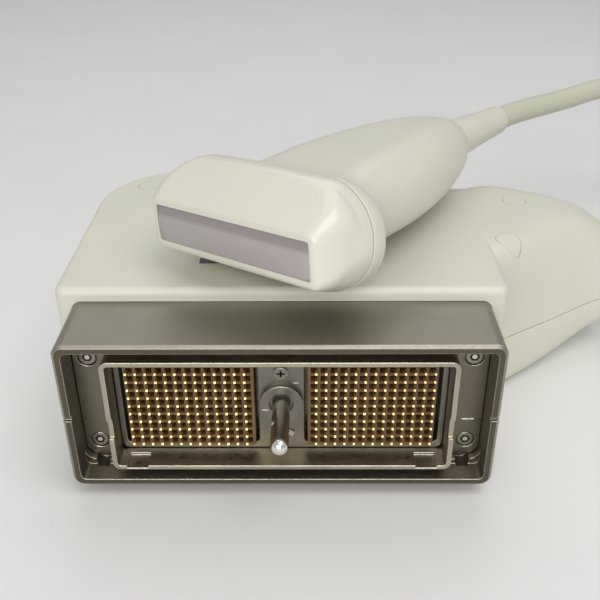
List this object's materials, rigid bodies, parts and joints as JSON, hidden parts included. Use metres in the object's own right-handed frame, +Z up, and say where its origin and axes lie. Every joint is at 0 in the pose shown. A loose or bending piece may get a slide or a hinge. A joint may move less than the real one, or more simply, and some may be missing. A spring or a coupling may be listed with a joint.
{
  "type": "ultrasound transducer probe",
  "caption": "Linear-array ultrasound handpiece lying on its flat multi-contact plug connector, joined to it by a coiled cable, with a turning lock shaft.",
  "frame": {"origin": "on the surface that the connector rests on, under the lock shaft's axis and halfway along the housing's depth", "axes": "+X along the connector's long side towards its cable, +Y from the mating face towards the knob, +Z up"},
  "size_m": [0.332, 0.2275, 0.0881],
  "materials": {
    "housing": "fine matt moulding",
    "handpiece": "satin moulding",
    "handpiece_nose": "smooth gloss",
    "lens": "smooth silicone",
    "jacket": "satin cable jacket",
    "shroud_metal": "matt nickel plating",
    "plug_metal": "bright nickel plating",
    "carrier_metal": "cast, nickel plated",
    "insulator": "moulded amber brown",
    "contact": "gold plated",
    "shaft_metal": "polished steel",
    "fastener": "plated",
    "knob": "matt moulding",
    "board": "circuit board",
    "array": "cast resin and ceramic",
    "flex": "polyimide film"
  },
  "bodies": {
    "probe": {"backing_block": "array", "board_spacers": "fastener", "cable_coil": "jacket", "cable_ferrule": "fastener", "cable_lead": "jacket", "cable_tail": "jacket", "carrier_screws": "fastener", "clamp_base": "shroud_metal", "clamp_bridge": "shroud_metal", "clamp_screws": "fastener", "connector_boot": "housing", "connector_jacket_end": "jacket", "contact_carrier": "carrier_metal", "contacts_left": "contact", "contacts_right": "contact", "element_array": "array", "flange_screws": "fastener", "flex_circuits": "flex", "handle_shell": "handpiece", "handpiece_boot": "handpiece", "handpiece_jacket_end": "jacket", "housing_lower": "housing", "housing_screws": "fastener", "housing_upper": "housing", "insulator_left": "insulator", "insulator_right": "insulator", "interface_board": "board", "lens": "lens", "matching_layer": "array", "nosepiece": "handpiece_nose", "plug_shell": "plug_metal", "rear_bush": "shroud_metal", "screw_caps": "housing", "shaft_bush": "carrier_metal", "shroud": "shroud_metal"},
    "lock": {"lock_shaft": "shaft_metal", "cross_pin": "shaft_metal", "lock_knob": "knob", "knob_screw": "fastener", "shaft_clip": "fastener"}
  },
  "joints": [
    {"name": "lock_turn", "type": "hinge", "parent": "probe", "child": "lock", "pos_m": [0, 0, 0.0266], "axis": [0, 1, 0], "range_deg": [0, 90]}
  ]
}
